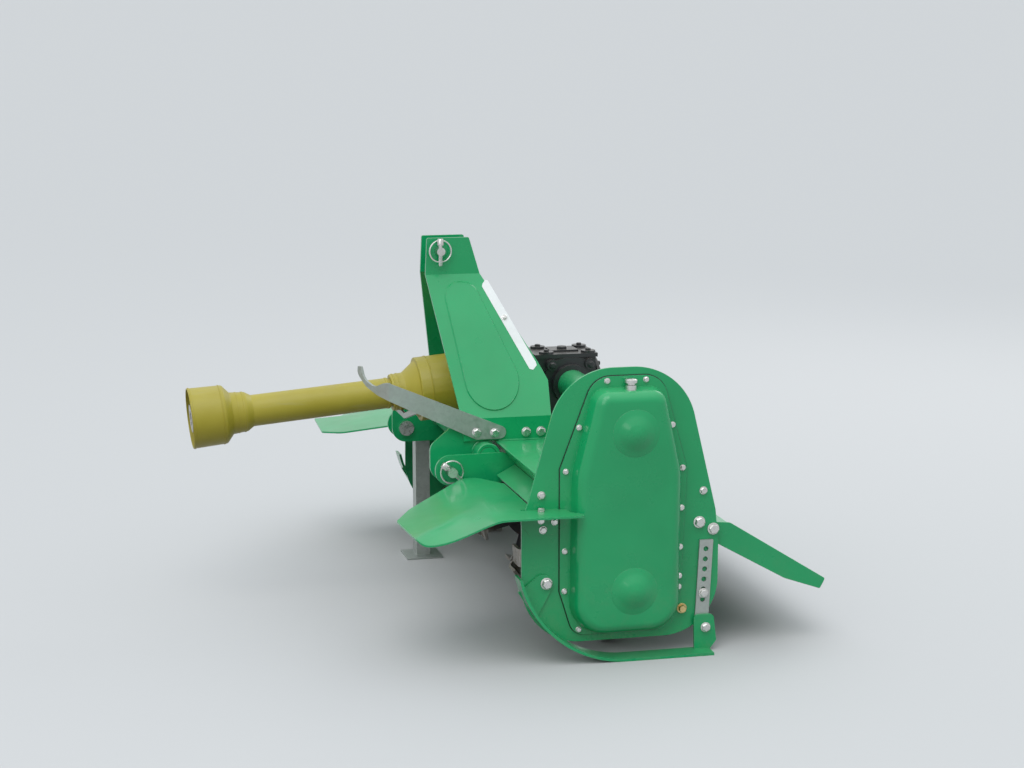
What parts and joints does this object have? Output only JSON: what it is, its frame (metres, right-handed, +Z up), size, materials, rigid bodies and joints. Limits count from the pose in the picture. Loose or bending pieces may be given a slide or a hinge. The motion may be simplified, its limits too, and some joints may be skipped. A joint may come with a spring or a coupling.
{
  "type": "rotary tiller",
  "caption": "Rotary tiller for a compact tractor's three-point hitch, with a side drive case, tined rotor, guarded drive shaft, tailboard, skids and parking stand.",
  "frame": {"origin": "on the floor, under the middle of the machine's box; the rotor axis is 191 mm behind it", "axes": "+X to the rear, +Y to the machine's right, +Z up"},
  "size_m": [1.3056, 1.416, 0.831],
  "materials": {
    "green_paint": "smooth gloss green enamel on pressed steel",
    "black_paint": "black satin paint on cast iron",
    "yellow_guard": "yellow moulded guard plastic",
    "galvanised": "dull galvanised steel",
    "zinc": "bright zinc plated steel",
    "tine_steel": "dark painted steel, worn bright at the tips",
    "machined": "machined steel"
  },
  "bodies": {
    "frame": {"side_plate_left": "green_paint", "hitch_inner_left": "green_paint", "hitch_outer_left": "green_paint", "mast_plate_left": "green_paint", "lower_pin_left": "zinc", "deflector_left": "green_paint", "skid_left": "green_paint", "depth_bar_left": "galvanised", "side_plate_right": "green_paint", "hitch_inner_right": "green_paint", "hitch_outer_right": "green_paint", "mast_plate_right": "green_paint", "lower_pin_right": "zinc", "deflector_right": "green_paint", "skid_right": "green_paint", "depth_bar_right": "galvanised", "case_cover": "green_paint", "bearing_housing": "green_paint", "hood_shell": "green_paint", "aprons": "green_paint", "cross_tube": "green_paint", "top_link_pin": "zinc", "drive_hook": "galvanised", "gearbox": "black_paint", "gearbox_lid": "black_paint", "cross_arm": "green_paint", "side_cap": "black_paint", "stop_bolts": "zinc", "stand_sleeve": "green_paint"},
    "rotor": {"rotor_shaft": "tine_steel", "rotor_tines": "tine_steel"},
    "tailboard": {"tailboard": "green_paint"},
    "stand": {"stand_leg": "galvanised"},
    "input": {"input_yoke": "machined"},
    "drive_rear": {"guard_rear": "yellow_guard"},
    "drive_front": {"guard_front": "yellow_guard"},
    "fork": {"shaft_rear": "machined"},
    "yoke": {"shaft_front": "machined"}
  },
  "joints": [
    {"name": "rotor_spin", "type": "hinge", "parent": "frame", "child": "rotor", "pos_m": [0.19084, 0, 0.154], "axis": [0, 1, 0], "continuous": true},
    {"name": "input_spin", "type": "hinge", "parent": "frame", "child": "input", "pos_m": [-0.02416, 0, 0.485], "axis": [1, 0, 0], "continuous": true},
    {"name": "driveline_pitch", "type": "hinge", "parent": "frame", "child": "drive_rear", "pos_m": [-0.02416, 0, 0.485], "axis": [0, 1, 0], "range_deg": [0, 12]},
    {"name": "driveline_slide", "type": "slide", "parent": "drive_rear", "child": "drive_front", "axis": [-0.9962, 0, -0.0872], "range_m": [0, 0.12]},
    {"name": "fork_spin", "type": "hinge", "parent": "drive_rear", "child": "fork", "pos_m": [-0.02416, 0, 0.485], "axis": [0.9962, 0, 0.0872], "continuous": true},
    {"name": "yoke_spin", "type": "hinge", "parent": "drive_front", "child": "yoke", "pos_m": [-0.6169, 0, 0.43314], "axis": [0.9962, 0, 0.0872], "continuous": true},
    {"name": "tailboard_hinge", "type": "hinge", "parent": "frame", "child": "tailboard", "pos_m": [0.39084, 0, 0.264], "axis": [0, -1, 0], "range_deg": [0, 35]},
    {"name": "stand_slide", "type": "slide", "parent": "frame", "child": "stand", "axis": [0, 0, 1], "range_m": [0, 0.25]}
  ],
  "couplings": [
    {"joint": "input_spin", "follows": "rotor_spin", "ratio": 2.5},
    {"joint": "fork_spin", "follows": "rotor_spin", "ratio": 2.5},
    {"joint": "yoke_spin", "follows": "rotor_spin", "ratio": 2.5}
  ]
}
